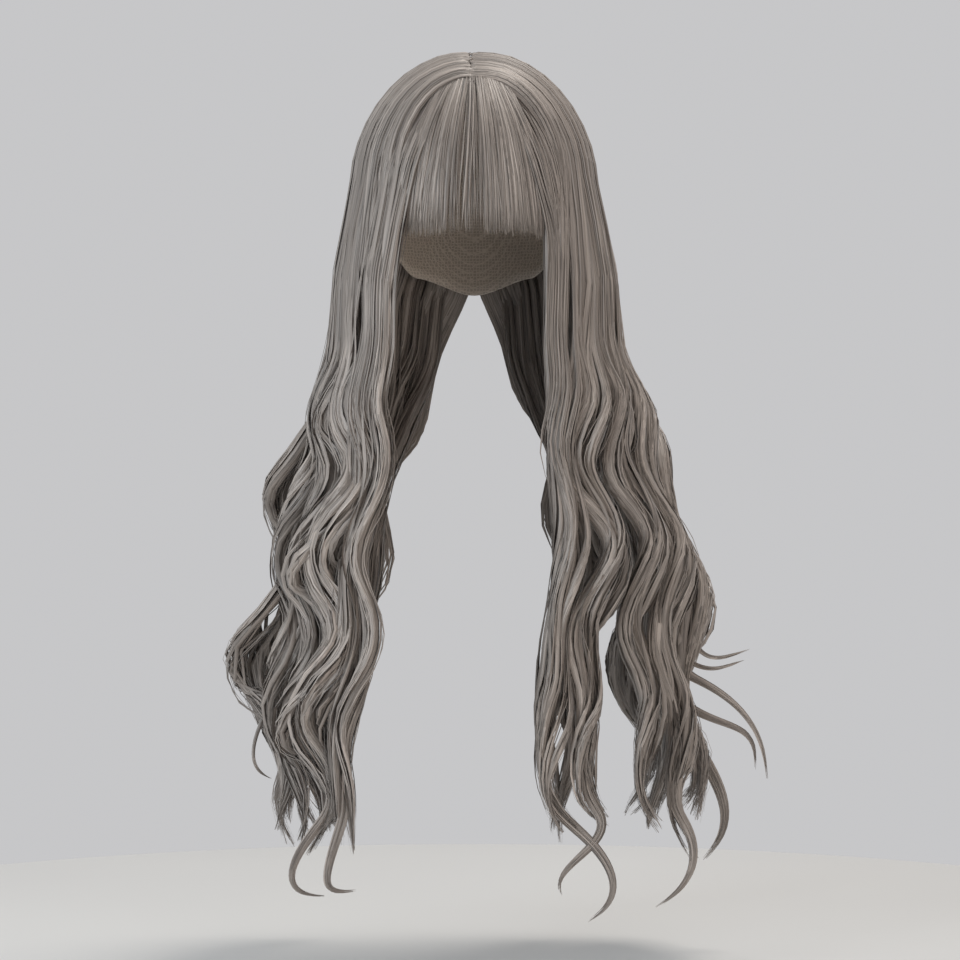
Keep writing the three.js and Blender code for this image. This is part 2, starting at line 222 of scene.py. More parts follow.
# How many rows, tresses and fibres stand for the hair, and their half sizes
ROOT_ROWS = (0, 0.06, 0.16)  # in knots from the parting
FIRST_CAP_ROW = 0.6
LOCK_ROWS = {"cap": 9, "below_cap": 3, "waves": 36}
ROW_SHIFT = 3.8  # millimetres that a row moves at most towards a bend of the waves
CURL_ROWS = 17
BANG_ROWS = 14
LAYER_ROWS = 24
ROOT_HALF_GAP = 0.4
ROOT_DEPTH = 0.5  # of the lock's half thickness, at the parting
CLUMPS = 4
OUTER_SHARE = 0.76  # of a lock's strands that lie on its outer side
OUTER_SHARE_AT_BACK = 0.5  # less, because the inner side is seen from the front
CLUMP_HALF_WIDTH = 0.36  # of the lock's half sizes
CLUMP_HALF_THICKNESS = 0.62
CALM_SWING = 0.35
SWAY_LENGTH = 150
CROSSING_SHARE = 0.16  # of strands, that cross to the next clump
LOOSE_SHARE = 0.05  # of fibres, that stand off their lock
FLICK_FROM = 0.76  # shares of the path where tips flick aside, clumps close and strands are drawn to points
CLOSING_FROM = 0.82
POINT_FROM = 0.84
PARTED_FROM = EAR - 40  # drops between which a lock's sheet parts into clumps
PARTED_FULL = SHOULDER + 20
GROOVE_DEPTH = 0.3  # of the lock's half thickness, between clumps
TIP_CLOSING = 0.16  # of its section, that a clump keeps at its tip
THIN_END = 0.6  # of its section, that a lock's hair keeps there
TRESSES_PER_LOCK = 80
FIBRES_PER_LOCK = 54
STRANDS_PER_CURL_MM = 3.6
BANG_TRESSES = 470
BANG_FIBRES = 480
TRESS_HALF_WIDTH = 1.7
TRESS_HALF_THICKNESS = 0.45
BANG_TRESS_HALF_WIDTH = 0.72
CURL_TRESS_HALF_WIDTH = 0.8
FIBRE_HALF_WIDTH = 0.34
LOCK_ROOT_SHARE = 0.8  # of its full size, that a strand has at its root
STRAND_SIDES = 3
UV_SPREAD = 900  # by which strands differ across the pattern of streaks
CORE_SIDES = 14
CORE_SHARE = 0.7
ROLLED_CORE_SHARE = 0.45
CORE_FULL_DROP = 60
CORE_END_DROP = 180
CLUMP_CORE_SIDES = 6
CLUMP_CORE_SHARE = 0.58
FIRST_CLUMP_CORE_ROW = 11
MIDDLE_TONE = 0.5  # tones go from 0, dark, to 1, pale
# Cores get a darker tone than the middle one: painted shade for the inside of a lock, so that what shows
# between strands looks shadowed
CORE_PAINTED_SHADE_TONE = 0.25
CLUMP_CORE_PAINTED_SHADE_TONE = 0.36


def blend(a, b, share):
    """From a to b by a share."""
    return a + (b - a) * share


def ease(value, low, high):
    """0 below low and 1 above high, with a cubic between them that is level at both ends."""
    share = np.clip((value - low) / (high - low), 0, 1)
    return share * share * (3 - 2 * share)


def unit(vectors):
    """Vectors over their lengths."""
    return vectors / np.linalg.norm(vectors, axis=-1, keepdims=True)


def direction(azimuth, polar):
    """Unit vectors at an azimuth from the front and an angle from the crown in degrees: the sine of the
    polar angle, shared between X and -Y by the azimuth's sine and cosine, and its cosine upward."""
    turn, fall = np.broadcast_arrays(np.radians(azimuth), np.radians(polar))
    return np.stack([np.sin(fall) * np.sin(turn), -np.sin(fall) * np.cos(turn), np.cos(fall)], axis=-1)


def on_form(towards, lift):
    """Points of the form: each direction times the half axes, moved out along the normal, which is the
    direction over the half axes."""
    height = np.where(towards[..., 2] < 0, NAPE_HEIGHT, CROWN_HEIGHT)
    axes = np.stack(np.broadcast_arrays(FORM_HALF_WIDTH, FORM_HALF_DEPTH, height), axis=-1)
    points = towards * axes + unit(towards / axes) * np.asarray(lift)[..., None]
    return points - [0, 0, CROWN_HEIGHT]


def polar_at_drop(drop):
    """The angle from the crown where the form has dropped this far: the arc cosine of the height over
    the half axis."""
    below = np.asarray(drop) - CROWN_HEIGHT
    return np.degrees(np.arccos(-below / np.where(below > 0, NAPE_HEIGHT, CROWN_HEIGHT)))


def outward_at(points):
    """The way that hair faces: the gradient of an upright oval, which is the form above and widens to
    the hanging hair, with the form's own upward part over its widest level."""
    hanging = ease(-points[..., 2], EAR, SHOULDER)
    wide = points[..., 0] / blend(FORM_HALF_WIDTH, HANG_HALF_WIDTH, hanging) ** 2
    deep = points[..., 1] / blend(FORM_HALF_DEPTH, HANG_HALF_DEPTH, hanging) ** 2
    up = np.maximum(0, points[..., 2] + CROWN_HEIGHT) / CROWN_HEIGHT**2
    return unit(np.stack([wide, deep, up], axis=-1))


def smooth_curve(knots, share):
    """A cubic between each two knots, whose slope at a knot is half the step between its neighbours."""
    padded = np.concatenate([[2 * knots[0] - knots[1]], knots, [2 * knots[-1] - knots[-2]]])
    at = np.clip(share, 0, 1) * (len(knots) - 1)
    span = np.minimum(at.astype(int), len(knots) - 2)
    t = (at - span)[..., None]
    before, start, end, after = (padded[span + k] for k in range(4))
    leave = (end - before) / 2
    arrive = (after - start) / 2
    cubic = 2 * start - 2 * end + leave + arrive
    square = -3 * start + 3 * end - 2 * leave - arrive
    return ((cubic * t + square) * t + leave) * t + start


def lock_knots(lock, side):
    """The knots of a lock's path: a quadratic Bezier curve of directions from the parting, by a turning
    point, to the widest level, laid on the form, and then a knot at each level down to the tip."""
    s = np.linspace(0, 1, CAP_KNOTS + 1)[:, None]
    root = direction(180, lock["part"])
    turn = direction(side * lock["ear"], TURN_POLAR)
    ear = direction(side * lock["ear"], 90)
    towards = unit(root * (1 - s) ** 2 + turn * 2 * s * (1 - s) + ear * s**2)
    thickness = blend(ROOT_HALF_THICKNESS, EAR_HALF_THICKNESS, s[:, 0])
    on_cap = on_form(towards, CAP_WALL + HAIR_CLEARANCE + thickness)
    on_cap[0, 0] = PARTING_X + side * PARTING_HALF_GAP
    ear_x = side * on_cap[-1, 0]
    ear_y = on_cap[-1, 1]
    hang_y = lock["hang_y"]
    low_drop = blend(WAIST, lock["tip_drop"], LOW_SHARE)
    hanging = np.array(
        [
            [blend(ear_x, lock["jaw_x"], CHEEK_SHARE), blend(ear_y, hang_y, 0.3), CHEEK_DROP],
            [lock["jaw_x"], blend(ear_y, hang_y, 0.6), JAW],
            [lock["shoulder_x"], hang_y, SHOULDER],
            [lock["chest_x"], hang_y, CHEST],
            [lock["waist_x"], hang_y * 0.97, WAIST],
            [lock["low_x"], hang_y * 0.95, low_drop],
            [lock["tip_x"], hang_y * 0.93, lock["tip_drop"]],
        ]
    )
    return np.concatenate([on_cap, hanging * [side, 1, -1]])


def row_shares(lock):
    """Shares of a lock's path where its rows go: a few by the parting, even steps of the path on the cap
    and below it, and even steps of drop in the waves."""
    jaw = CAP_KNOTS + 2
    levels = [JAW, SHOULDER, CHEST, WAIST, blend(WAIST, lock["tip_drop"], LOW_SHARE), lock["tip_drop"]]
    wave_drops = np.linspace(JAW, lock["tip_drop"], LOCK_ROWS["waves"] + 1)
    steps = [
        ROOT_ROWS,
        np.linspace(FIRST_CAP_ROW, CAP_KNOTS, LOCK_ROWS["cap"], endpoint=False),
        np.linspace(CAP_KNOTS, jaw, LOCK_ROWS["below_cap"], endpoint=False),
        np.interp(wave_drops, levels, np.arange(jaw, KNOTS + 1)),
    ]
    return np.concatenate(steps) / KNOTS


def lock_course(lock, side, share, phase=0.0, swing=1.0):
    """Where a lock goes at shares of its path, with its waves: a sine across the path and a cosine in
    depth, which grow on the way down. Gives points, the two directions of its section, turned with
    the waves, and its half sizes. Also gives the wave's angle, how far strands roll to and fro with it,
    and how far a rope would have twisted by there with one turn in each wave."""
    base = smooth_curve(lock_knots(lock, side), share)
    drop = -base[..., 2]
    out = outward_at(base)
    across = unit(np.cross(out, np.gradient(base, axis=-2)))
    angle = 2 * np.pi * (drop - WAVE_ZERO[side]) / WAVE_LENGTH + np.radians(lock["phase"]) + phase
    fullness = ease(drop, WAVE_FROM, WAVE_FULL)
    wave = (fullness * lock["wave"] * swing)[..., None]
    aside = across * wave * np.sin(angle)[..., None]
    forth = out * wave * WAVE_DEPTH_SHARE * np.cos(angle)[..., None]
    points = base - aside + forth

    along = unit(np.gradient(points, axis=-2))
    across = unit(np.cross(outward_at(points), along))
    out = np.cross(along, across)
    turn = np.radians(fullness * WAVE_TWIST * swing * np.cos(angle))[..., None]
    across, out = across * np.cos(turn) + out * np.sin(turn), out * np.cos(turn) - across * np.sin(turn)

    on_cap = np.clip(share * KNOTS / CAP_KNOTS, 0, 1)
    hanging = ease(drop, EAR, SHOULDER)
    hung = np.maximum(0, drop - ROLL_FROM) * (lock["wave"] < SMOOTH_WAVE)
    thinning = np.clip((share - TAPER_FROM) / (1 - TAPER_FROM), 0, 1) ** TAPER_POWER
    thickness = blend(blend(ROOT_HALF_THICKNESS, EAR_HALF_THICKNESS, on_cap), HANG_HALF_THICKNESS, hanging)
    return {
        "points": points,
        "across": across,
        "out": out,
        "drop": drop,
        "angle": angle,
        "half_width": blend(ROOT_HALF_WIDTH, lock["half_width"], ease(on_cap, 0, 0.8)),
        "half_thickness": thickness,
        "hanging": hanging,
        "thinning": thinning,
        "roll": np.radians(WAVE_ROLL) * ease(hung, 0, ROLL_FULL - ROLL_FROM) * np.sin(angle),
        "rope": 2 * np.pi / WAVE_LENGTH * (hung - ROPE_EASE * (1 - np.exp(-hung / ROPE_EASE))),
    }


def in_section(course, wide, deep):
    """Points of a lock at distances across and out from its middle."""
    return course["points"] + course["across"] * wide[..., None] + course["out"] * deep[..., None]


def rows_at_bends(lock, side, share, phase):
    """Shares moved along the path towards the bends of the waves, so that rows lie closer there: by a
    sine of twice the wave's angle. The last row stays at the tip."""
    course = lock_course(lock, side, share, phase)
    per_drop = np.gradient(share, axis=-1) / np.maximum(np.gradient(course["drop"], axis=-1), 1.0)
    shift = ROW_SHIFT * ease(course["drop"], WAVE_FROM, WAVE_FULL) * np.sin(2 * course["angle"]) * per_drop
    shift[:, -1] = 0
    return share + shift


def rings_along(paths, facing, half_width, half_thickness, sides):
    """An oval carried along each path: at each row a cosine times the half width across the path and a
    sine times the half thickness the way that it faces. The first corner faces outward."""
    along = unit(np.gradient(paths, axis=1))
    across = unit(np.cross(facing, along))
    out = np.cross(along, across)
    angle = np.pi / 2 + 2 * np.pi * np.arange(sides) / sides
    wide = half_width[..., None] * np.cos(angle)
    thick = half_thickness[..., None] * np.sin(angle)
    return paths[:, :, None] + wide[..., None] * across[:, :, None] + thick[..., None] * out[:, :, None]


def ring_faces(count, rows, sides):
    """Corner numbers of the quads between the rings of each of many tubes, and of the faces that close
    their two ends."""
    corner = np.arange(count * rows * sides).reshape(count, rows, sides)
    beside = np.roll(corner, -1, axis=2)
    quads = np.stack([corner[:, :-1], beside[:, :-1], beside[:, 1:], corner[:, 1:]], axis=-1)
    return quads.reshape(-1, 4), np.concatenate([corner[:, 0, ::-1], corner[:, -1]])


def mesh_piece(name, tubes, material):
    """One mesh from groups of tubes. Each group has rings of points in millimetres and a tone for each
    tube or row. A corner's UV is its way around and along the tube in metres, moved aside by a different
    amount for each tube. The two edges of a strand's inner side are sharp, so that its outer side shades
    softly."""
    points, quad_corners, end_corners, end_sizes = [], [], [], []
    tones, around, lengths, ridges = [], [], [], []
    first = 0
    for rings, tone in tubes:
        count, rows, sides, _ = rings.shape
        quads, ends = ring_faces(count, rows, sides)
        points.append(rings.reshape(-1, 3))
        quad_corners.append(quads + first)
        end_corners.append((ends + first).ravel())
        end_sizes.append(np.full(len(ends), sides))
        first += count * rows * sides
        share = np.broadcast_to(np.linspace(0, 1, rows)[None, :, None], (count, rows, sides))
        each = np.broadcast_to(np.asarray(tone, float).reshape(count, -1, 1), (count, rows, sides))
        tones.append(np.stack([each, share, np.zeros_like(each), np.ones_like(each)], axis=-1).reshape(-1, 4))
        girth = np.linalg.norm(np.roll(rings, -1, axis=2) - rings, axis=-1).sum(axis=2).max(axis=1)
        length = np.linalg.norm(np.diff(rings[:, :, 0], axis=1), axis=-1).sum(axis=1)
        aside = chance.uniform(0, UV_SPREAD, count)
        place = np.arange(sides)[None, None, :] / sides * girth[:, None, None] + aside[:, None, None]
        around.append(np.broadcast_to(place, (count, rows, sides)).ravel())
        lengths.append((share * length[:, None, None]).ravel())
        ridges.append(np.tile(np.arange(sides) > 0, count * rows) & (sides == STRAND_SIDES))
    points = np.concatenate(points) * MM
    quads = np.concatenate(quad_corners)
    corners = np.concatenate([quads.ravel(), *end_corners])
    sizes = np.concatenate([np.full(len(quads), 4), *end_sizes])
    uv = np.stack([np.concatenate(around), np.concatenate(lengths)], axis=-1) * MM

    mesh = bpy.data.meshes.new(name)
    mesh.vertices.add(len(points))
    mesh.vertices.foreach_set("co", points.ravel())
    mesh.loops.add(len(corners))
    mesh.loops.foreach_set("vertex_index", corners)
    mesh.polygons.add(len(sizes))
    mesh.polygons.foreach_set("loop_start", np.concatenate([[0], np.cumsum(sizes)[:-1]]))
    mesh.polygons.foreach_set("use_smooth", np.ones(len(sizes), bool))
    mesh.uv_layers.new(name="along_fibre").data.foreach_set("uv", uv[corners].ravel())
    tone_colours = mesh.attributes.new("tone", "FLOAT_COLOR", "POINT")
    tone_colours.data.foreach_set("color", np.concatenate(tones).ravel())
    mesh.update(calc_edges=True)
    mesh.validate()
    ends = np.empty(len(mesh.edges) * 2, int)
    mesh.edges.foreach_get("vertices", ends)
    ridge = np.concatenate(ridges)[ends.reshape(-1, 2)].all(axis=1)
    mesh.attributes.new("sharp_edge", "BOOLEAN", "EDGE").data.foreach_set("value", ridge)
    mesh.materials.append(material)
    piece = bpy.data.objects.new(name, mesh)
    bpy.context.collection.objects.link(piece)
    return piece


def smooth_rows(values, times):
    """Smooths values along paths where they are: each inner row becomes half of itself and a quarter of
    each neighbour, as many times as it says."""
    for _ in range(times):
        values[:, 1:-1] = (values[:, :-2] + 2 * values[:, 1:-1] + values[:, 2:]) / 4


def seen_from_front(paths):
    """Across and drop where the sight line to each point meets the upright plane through the wig's
    middle: the point's offset from the eye, times the eye's distance from the plane over its distance
    from the point."""
    nearer = EYE_DISTANCE / (EYE_DISTANCE + paths[..., 1])
    return EYE_X + (paths[..., 0] - EYE_X) * nearer, EYE_DROP - (paths[..., 2] + EYE_DROP) * nearer


def slimming(paths):
    """What share of its size a core keeps along its path: little by the middle of a gap, all further away."""
    kept = np.ones(paths.shape[:-1])
    x, drop = seen_from_front(paths)
    for gap in GAPS:
        below = drop - gap["drop"]
        beside = (x - gap["x"] - gap["lean"] * below) / (gap["half_width"] + GAP_CORE_MARGIN)
        along = np.maximum(0, 1 - (below / gap["half_height"] / GAP_CORE_REACH) ** 2)
        near = along * np.maximum(0, 1 - beside**2)
        kept = np.minimum(kept, 1 - GAP_CORE_LOSS * np.sqrt(near) * (paths[..., 1] < gap["deepest"]))
    return kept


def opened(paths):
    """Paths with gaps opened in the hair at the front: by each gap's middle a path is pushed aside by
    the gap's half width, less with distance across, and less towards the gap's two ends. A path goes to
    the side where it is at the middle, and its push is smoothed along it."""
    moved = paths.copy()
    for gap in GAPS:
        x, drop = seen_from_front(moved)
        below = drop - gap["drop"]
        beside = (x - gap["x"] - gap["lean"] * below) / (GAP_FALLOFF * gap["half_width"])
        along = np.maximum(0, 1 - (below / gap["half_height"]) ** 2) ** GAP_END_POWER
        nearest = np.argmin(np.abs(below), axis=1)[:, None]
        to_side = np.sign(np.take_along_axis(beside, nearest, axis=1))
        push = gap["half_width"] * to_side * np.maximum(0, 1 - np.abs(beside)) * along
        push = push * (moved[..., 1] < gap["deepest"])
        smooth_rows(push, 2)
        moved[..., 0] += push
    return moved


def rolled_place(a, b, roll):
    """Places across and through a lock, turned about its middle: cosine and sine of the roll times both."""
    return a * np.cos(roll) - b * np.sin(roll), a * np.sin(roll) + b * np.cos(roll)


def clumps_of_lock(calm):
    """How a lock divides into clumps: their places across and through it, how differently each twists,
    and how far its wave runs ahead and swings, less in a calm lock. Two clumps make one tip, which has
    its own place, end and flick aside."""
    step = 2 / CLUMPS
    cell = -1 + step * (np.arange(CLUMPS) + 0.5)
    in_turn = np.where(np.arange(CLUMPS) % 2 > 0, 1, -1) * chance.choice([-1, 1])
    proud = in_turn * chance.uniform(0.3, 1.2, CLUMPS)
    tip = np.arange(CLUMPS) // 2
    return {
        "cell": cell,
        "a": 0.78 * cell + chance.uniform(-0.3, 0.3, CLUMPS) * step,
        "b": 0.5 * proud,
        "twist": chance.choice([-1, 1], CLUMPS) * chance.uniform(0.3, 1.5, CLUMPS),
        "phase": np.radians(chance.normal(0, 17, CLUMPS)),
        "swing": chance.uniform(0.8, 1.25, CLUMPS) * (CALM_SWING if calm else 1.0),
        "tip_a": chance.uniform(-0.5, 0.5, CLUMPS)[tip],
        "tip_b": chance.uniform(-0.4, 0.4, CLUMPS)[tip],
        "end": chance.uniform(0.95, 1.0, CLUMPS)[tip],
        "flick": chance.normal(0, 10, CLUMPS)[tip],
        "sway": chance.normal(0, 2.5, CLUMPS),
        "sway_at": chance.random(CLUMPS),
        # A clump's tone differs at random, and sunk clumps are darker and proud ones paler: painted shade of
        # the hollows between clumps
        "tone": chance.normal(0, 0.05, CLUMPS) + 0.11 * proud,
    }


def clump_shift(clumps, course, share):
    """How far clumps go aside in their lock: a sine of the drop, and near the end a flick that grows with
    the square of the way."""
    sway = clumps["sway"] * np.sin(2 * np.pi * (course["drop"] / SWAY_LENGTH + clumps["sway_at"]))
    flick = clumps["flick"] * np.clip((share - FLICK_FROM) / (1 - FLICK_FROM), 0, 1) ** 2
    return sway * course["hanging"] + flick


def strands_of_lock(lock, side, clumps, outer_share, rolled, count, fine):
    """Paths of strands over one lock. On the cap they lie side by side in a sheet, which rises from the
    parting and has a groove between clumps. On the way down each goes over to its place around the oval
    of its clump, which rolls with the waves and twists like a rope, and some cross to the next clump.
    Near the end two clumps close to one tip. The outer share begins on the lock's outer side. A rolled
    lock is the foremost one, whose sheet thins out towards the front."""
    p = chance.uniform(-1, 1, (count, 1))
    outer = chance.random((count, 1)) < outer_share
    reach = chance.uniform(0.9, 1.08, (count, 1)) if fine else chance.uniform(0.7, 1.0, (count, 1))
    q = np.where(outer, 1, -1) * np.sqrt(1 - p**2) * reach
    of = chance.integers(0, CLUMPS, count)
    pick = {key: values[of][:, None] for key, values in clumps.items()}
    sheet_a = pick["cell"] + 0.92 * p / CLUMPS
    sheet_b = np.where(outer, chance.uniform(0.6, 0.95, (count, 1)), chance.uniform(-0.7, 0.3, (count, 1)))
    sheet_b = sheet_b - 0.45 * np.abs(sheet_a) ** 3

    share = row_shares(lock) * (pick["end"] - chance.uniform(0, 0.035, (count, 1)))
    jitter = np.radians(chance.normal(0, 5 if fine else 3, (count, 1)))
    share = rows_at_bends(lock, side, share, pick["phase"] + jitter)
    course = lock_course(lock, side, share, pick["phase"] + jitter, pick["swing"])
    crossing = chance.random((count, 1)) < CROSSING_SHARE
    drift = np.where(crossing, -np.sign(sheet_a) * np.abs(chance.normal(0, 0.7, (count, 1))), 0.0)
    drift = drift * ease(course["drop"], EAR, WAIST)
    closing = ease(share, CLOSING_FROM, 1.0)
    narrow = blend(1.0, TIP_CLOSING, closing)
    turn = course["rope"] * (ROPE_TURNS + ROPE_SPREAD * pick["twist"]) + course["roll"]
    p_turned, q_turned = rolled_place(p, q, turn)
    middle_a, middle_b = rolled_place(pick["a"], pick["b"], course["roll"])
    clump_a = blend(middle_a, pick["tip_a"], closing)
    clump_a = clump_a + narrow * np.clip(CLUMP_HALF_WIDTH * p_turned + drift, -0.8, 0.8)
    clump_a = np.clip(clump_a, -1.05, 1.05)
    clump_b = blend(middle_b, pick["tip_b"], closing) + narrow * CLUMP_HALF_THICKNESS * q_turned
    clump_b = np.clip(clump_b + np.where(crossing, 0.12, 0.0), -1.25, 1.25)
    parted = ease(course["drop"], PARTED_FROM, PARTED_FULL)
    rise = ease(share * KNOTS, 0, ROOT_ROWS[-1])
    groove = GROOVE_DEPTH * np.abs(p) ** 4 * ease(course["drop"], 0, EAR)
    groove = groove + rolled * 1.5 * ease(-side * sheet_a, 0.1, 1.0) * (1 - ease(course["drop"], 25, EAR))
    own_a = blend(sheet_a, clump_a, parted)
    own_b = blend(ROOT_DEPTH, blend(sheet_b - groove, clump_b, parted), rise)

    is_loose = chance.random((count, 1)) < (LOOSE_SHARE if fine else 0.0)
    loose = np.where(is_loose, chance.uniform(1.1, 1.3, (count, 1)), 1.0)
    size = blend(1.0, THIN_END, course["thinning"]) * blend(1.0, loose, course["hanging"])
    ripple = (0.8 if fine else 0.35) * course["hanging"]
    wander = 2 * np.pi * (course["drop"] / chance.uniform(45, 80, (count, 1)) + chance.random((count, 1)))
    wide = own_a * course["half_width"] * size + ripple * np.sin(wander) + clump_shift(pick, course, share)
    deep = own_b * course["half_thickness"] * size + ripple * np.cos(wander)
    paths = in_section(course, wide, deep)
    paths[..., 0] -= side * (PARTING_HALF_GAP - ROOT_HALF_GAP) * (1 - rise)
    lean = blend(0.3, 1.0, parted) * p_turned * CLUMP_HALF_THICKNESS / CLUMP_HALF_WIDTH
    upright = blend(np.where(q < 0, -0.5, 1.0), 0.4 * np.tanh(4 * q_turned) + 0.6 * q_turned, parted)
    facing = unit(lean[..., None] * course["across"] + upright[..., None] * course["out"])
    own_tone = chance.normal(0, 0.13 if fine else 0.1, (count, 1))
    # Strands deep in a lock and at a clump's edges are darker: painted shade of the hollows between clumps
    painted_edge_shade = 0.1 * q_turned - 0.15 * np.abs(p_turned) ** 3
    return paths, facing, MIDDLE_TONE + own_tone + parted * (pick["tone"] + painted_edge_shade)


def strand_sizes(rows, count, half, root):
    """Half sizes along strands: a share of the full size at the root, full by an eighth of the way, and
    drawn to a point over the last sixth."""
    s = np.linspace(0, 1, rows)
    profile = blend(root, 1.0, ease(s, 0, 0.12)) * blend(1.0, 0.12, ease(s, POINT_FROM, 1.0))
    return chance.uniform(0.7, 1.25, (count, 1)) * half * profile


def tress_rings(strands, half, root=LOCK_ROOT_SHARE):
    """Flat tresses along the paths of strands, with their tones."""
    paths, facing, tone = strands
    wide = strand_sizes(paths.shape[1], len(paths), half, root)
    thick = wide * TRESS_HALF_THICKNESS / TRESS_HALF_WIDTH
    return rings_along(opened(paths), facing, wide, thick, STRAND_SIDES), tone


def fibre_rings(strands, root=LOCK_ROOT_SHARE):
    """Fine round fibres along the paths of strands, with their tones."""
    paths, facing, tone = strands
    wide = strand_sizes(paths.shape[1], len(paths), FIBRE_HALF_WIDTH, root)
    return rings_along(opened(paths), facing, wide, wide, STRAND_SIDES), tone


def cores_of_clumps(lock, side, clumps):
    """The insides of a lock's clumps: their ovals made narrower, from the widest level down to their tips."""
    rows = row_shares(lock)[None, FIRST_CLUMP_CORE_ROW:]
    each = {key: values[:, None] for key, values in clumps.items()}
    share = rows_at_bends(lock, side, rows * (each["end"] - 0.02), each["phase"])
    course = lock_course(lock, side, share, each["phase"], each["swing"])
    closing = ease(share, CLOSING_FROM, 1.0)
    narrow = blend(1.0, TIP_CLOSING, closing) * blend(1.0, THIN_END, course["thinning"]) * CLUMP_CORE_SHARE
    narrow = narrow * course["hanging"] * blend(1.0, 0.08, ease(rows, POINT_FROM, 1.0))
    half_wide = CLUMP_HALF_WIDTH * course["half_width"] * narrow
    half_deep = CLUMP_HALF_THICKNESS * course["half_thickness"] * narrow
    middle_a, middle_b = rolled_place(each["a"], each["b"], course["roll"])
    wide = blend(middle_a, each["tip_a"], closing) * course["half_width"] + clump_shift(each, course, share)
    deep = blend(middle_b, each["tip_b"], closing) * course["half_thickness"]
    paths = in_section(course, wide, deep)
    kept = slimming(paths)
    rings = rings_along(opened(paths), course["out"], half_wide * kept, half_deep * kept, CLUMP_CORE_SIDES)
    # Its dark tone, with its clump's, is painted shade of the clump's inside
    return rings, CLUMP_CORE_PAINTED_SHADE_TONE + clumps["tone"]


def core_of_lock(lock, side, rolled):
    """The inside of a lock on the cap: its own oval made narrower, from the parting to below the cap. A
    rolled lock's is slimmer, because its sheet thins out."""
    rows = row_shares(lock)
    share = rows[None, rows * KNOTS <= CAP_KNOTS + 2]
    course = lock_course(lock, side, share)
    full = CORE_SHARE * (ROLLED_CORE_SHARE if rolled else 1.0)
    size = full * blend(1.0, TIP_SHARE, ease(course["drop"], CORE_FULL_DROP, CORE_END_DROP))
    rise = ease(share * KNOTS, 0, 0.8)
    wide = course["half_width"] * size
    deep = course["half_thickness"] * size * blend(0.5, 1.0, rise)
    sunk = course["points"] - course["out"] * (course["half_thickness"] * 0.4 * (1 - rise))[..., None]
    sunk[..., 0] -= side * (PARTING_HALF_GAP - ROOT_HALF_GAP) * (1 - rise)
    # Its dark tone is painted shade of the lock's inside
    return rings_along(sunk, course["out"], wide, deep, CORE_SIDES), [CORE_PAINTED_SHADE_TONE]


def strands_of_layer(layer, lock, side, count):
    """Strands of one short layer: they fan out over the cap from their roots, and further down they lie
    on a lock, in the same order across it. Rows go by even steps of drop, and a lock's share at a drop is
    looked up along its path."""
    table = np.linspace(0, 1, 400)
    lock_drop = lock_course(lock, side, table[None])["drop"][0]
    place = chance.random((count, 1))
    end = chance.uniform(*layer["end_drop"], (count, 1))
    drop = blend(layer["root_drop"], end, np.linspace(0, 1, LAYER_ROWS)[None])
    course = lock_course(lock, side, np.interp(drop, lock_drop, table))
    inward = np.sign(np.diff(layer["join_azimuth"]))[0] * side
    a = inward * blend(-0.7, 1.05, place)
    b = np.sqrt(np.maximum(0.05, 1 - a**2)) * chance.uniform(0.9, 1.15, (count, 1))
    wide = a * course["half_width"]
    deep = b * course["half_thickness"]
    hanging = in_section(course, wide, deep)

    root = blend(*layer["root_azimuth"], np.clip(place + chance.normal(0, 0.12, (count, 1)), 0, 1))
    fall = np.clip((drop - layer["root_drop"]) / (layer["join_drop"][1] - layer["root_drop"]), 0, 1)
    azimuth = side * blend(root, blend(*layer["join_azimuth"], place), fall**0.8)
    towards = direction(azimuth, polar_at_drop(np.minimum(drop, EAR)))
    lift = blend(*layer["lift"], ease(drop, layer["root_drop"], EAR)) - chance.uniform(0, 3, (count, 1))
    above = on_form(towards, lift)
    above[..., 2] -= np.maximum(0, drop - EAR)
    over = ease(drop, *layer["join_drop"])[..., None]
    paths = blend(above, hanging, over)
    facing = unit(blend(towards, course["out"], over))
    return paths, facing, MIDDLE_TONE + chance.normal(0, 0.12, count)


